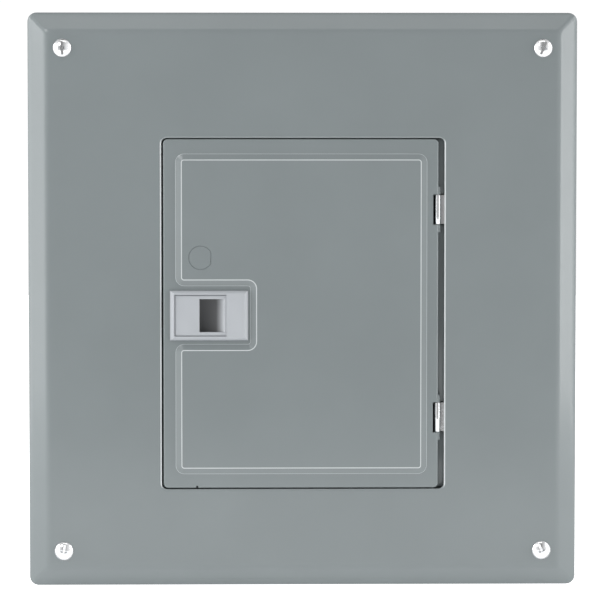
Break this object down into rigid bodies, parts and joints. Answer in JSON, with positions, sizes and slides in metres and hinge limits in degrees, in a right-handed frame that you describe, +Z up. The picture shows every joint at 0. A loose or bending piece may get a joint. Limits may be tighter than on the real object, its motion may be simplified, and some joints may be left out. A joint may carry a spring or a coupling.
{
  "type": "residential load center",
  "caption": "Grey wall-mounted load center: bevelled cover, right-hinged door with slide latch, and main and branch breakers on bus bars inside a galvanised box.",
  "frame": {"origin": "centre of the box's back face and of its four wall screw holes, on the wall plane", "axes": "+Y into the wall, so the front faces -Y; +Z up; +X to the right of a person facing the door"},
  "size_m": [0.3904, 0.0999, 0.4082],
  "materials": {
    "grey_enamel": "satin baked grey enamel",
    "galvanised": "galvanised sheet steel",
    "zinc_plate": "bright zinc plate",
    "plain_steel": "plain machined steel",
    "tinned": "tin-plated aluminium",
    "black_moulding": "moulded black phenolic",
    "handle_black": "moulded black nylon",
    "copper": "bare copper",
    "grey_moulding": "moulded light grey plastic",
    "paper_card": "white card",
    "green_enamel": "green dyed zinc"
  },
  "bodies": {
    "enclosure": {"box_wrapper": "galvanised", "end_wall_top": "galvanised", "end_wall_bottom": "galvanised", "cover": "grey_enamel", "cover_screws": "zinc_plate", "dead_front": "grey_enamel", "dead_front_studs": "plain_steel", "filler_plate": "black_moulding", "interior_pan": "galvanised", "pan_screws": "zinc_plate", "bus_insulator": "black_moulding", "bus_bar_a": "tinned", "bus_bar_b": "tinned", "bus_screws": "plain_steel", "neutral_bar_left": "tinned", "neutral_bar_right": "tinned", "neutral_strap": "tinned", "neutral_supports": "black_moulding", "neutral_screws": "plain_steel", "neutral_lug": "tinned", "bonding_screw": "green_enamel", "ground_bar": "tinned", "ground_screws": "plain_steel", "main_case": "black_moulding", "main_lugs": "tinned", "lug_screws": "plain_steel", "line_jaws": "copper", "load_clamps": "zinc_plate", "load_screws": "plain_steel", "hinge_barrels": "zinc_plate", "breaker_case_1": "black_moulding", "breaker_case_2": "black_moulding", "breaker_case_3": "black_moulding", "breaker_case_4": "black_moulding", "breaker_case_5": "black_moulding", "breaker_case_6": "black_moulding", "breaker_case_7": "black_moulding", "breaker_case_8": "black_moulding", "breaker_case_9": "black_moulding"},
    "door_leaf": {"door": "grey_enamel", "hinge_brackets": "grey_enamel", "hinge_pins": "plain_steel", "directory_card": "paper_card", "latch_bezel": "grey_moulding", "latch_keeper": "galvanised", "latch_spring": "plain_steel", "latch_screws": "plain_steel"},
    "slider": {"latch_slider": "grey_moulding"},
    "main_toggle": {"main_handle": "handle_black"},
    "toggle_1": {"breaker_handle_1": "handle_black"},
    "toggle_2": {"breaker_handle_2": "handle_black"},
    "toggle_3": {"breaker_handle_3": "handle_black"},
    "toggle_4": {"breaker_handle_4": "handle_black"},
    "toggle_5": {"breaker_handle_5": "handle_black"},
    "toggle_6": {"breaker_handle_6": "handle_black"},
    "toggle_7": {"breaker_handle_7": "handle_black"},
    "toggle_8": {"breaker_handle_8": "handle_black"},
    "toggle_9": {"breaker_handle_9": "handle_black"}
  },
  "joints": [
    {"name": "door_hinge", "type": "hinge", "parent": "enclosure", "child": "door_leaf", "pos_m": [0.0957, -0.093, -0.0101], "axis": [0, 0, 1], "range_deg": [0, 100]},
    {"name": "latch_slide", "type": "slide", "parent": "door_leaf", "child": "slider", "axis": [1, 0, 0], "range_m": [0, 0.008], "stiffness_N_per_m": 250, "springref_m": -0.004, "deforming": ["latch_spring"]},
    {"name": "main_switch", "type": "hinge", "parent": "enclosure", "child": "main_toggle", "pos_m": [0, -0.0662, 0.082], "axis": [1, 0, 0], "range_deg": [0, 36]},
    {"name": "breaker_switch_1", "type": "hinge", "parent": "enclosure", "child": "toggle_1", "pos_m": [-0.026, -0.0662, 0.0246], "axis": [0, 0, -1], "range_deg": [0, 36]},
    {"name": "breaker_switch_2", "type": "hinge", "parent": "enclosure", "child": "toggle_2", "pos_m": [-0.026, -0.0662, -0.0135], "axis": [0, 0, -1], "range_deg": [0, 36]},
    {"name": "breaker_switch_3", "type": "hinge", "parent": "enclosure", "child": "toggle_3", "pos_m": [-0.026, -0.0662, -0.0389], "axis": [0, 0, -1], "range_deg": [0, 36]},
    {"name": "breaker_switch_4", "type": "hinge", "parent": "enclosure", "child": "toggle_4", "pos_m": [-0.026, -0.0662, -0.0643], "axis": [0, 0, -1], "range_deg": [0, 36]},
    {"name": "breaker_switch_5", "type": "hinge", "parent": "enclosure", "child": "toggle_5", "pos_m": [-0.026, -0.0662, -0.0897], "axis": [0, 0, -1], "range_deg": [0, 36]},
    {"name": "breaker_switch_6", "type": "hinge", "parent": "enclosure", "child": "toggle_6", "pos_m": [0.026, -0.0662, 0.0246], "axis": [0, 0, 1], "range_deg": [0, 36]},
    {"name": "breaker_switch_7", "type": "hinge", "parent": "enclosure", "child": "toggle_7", "pos_m": [0.026, -0.0662, -0.0135], "axis": [0, 0, 1], "range_deg": [0, 36]},
    {"name": "breaker_switch_8", "type": "hinge", "parent": "enclosure", "child": "toggle_8", "pos_m": [0.026, -0.0662, -0.0389], "axis": [0, 0, 1], "range_deg": [0, 36]},
    {"name": "breaker_switch_9", "type": "hinge", "parent": "enclosure", "child": "toggle_9", "pos_m": [0.026, -0.0662, -0.0643], "axis": [0, 0, 1], "range_deg": [0, 36]}
  ]
}
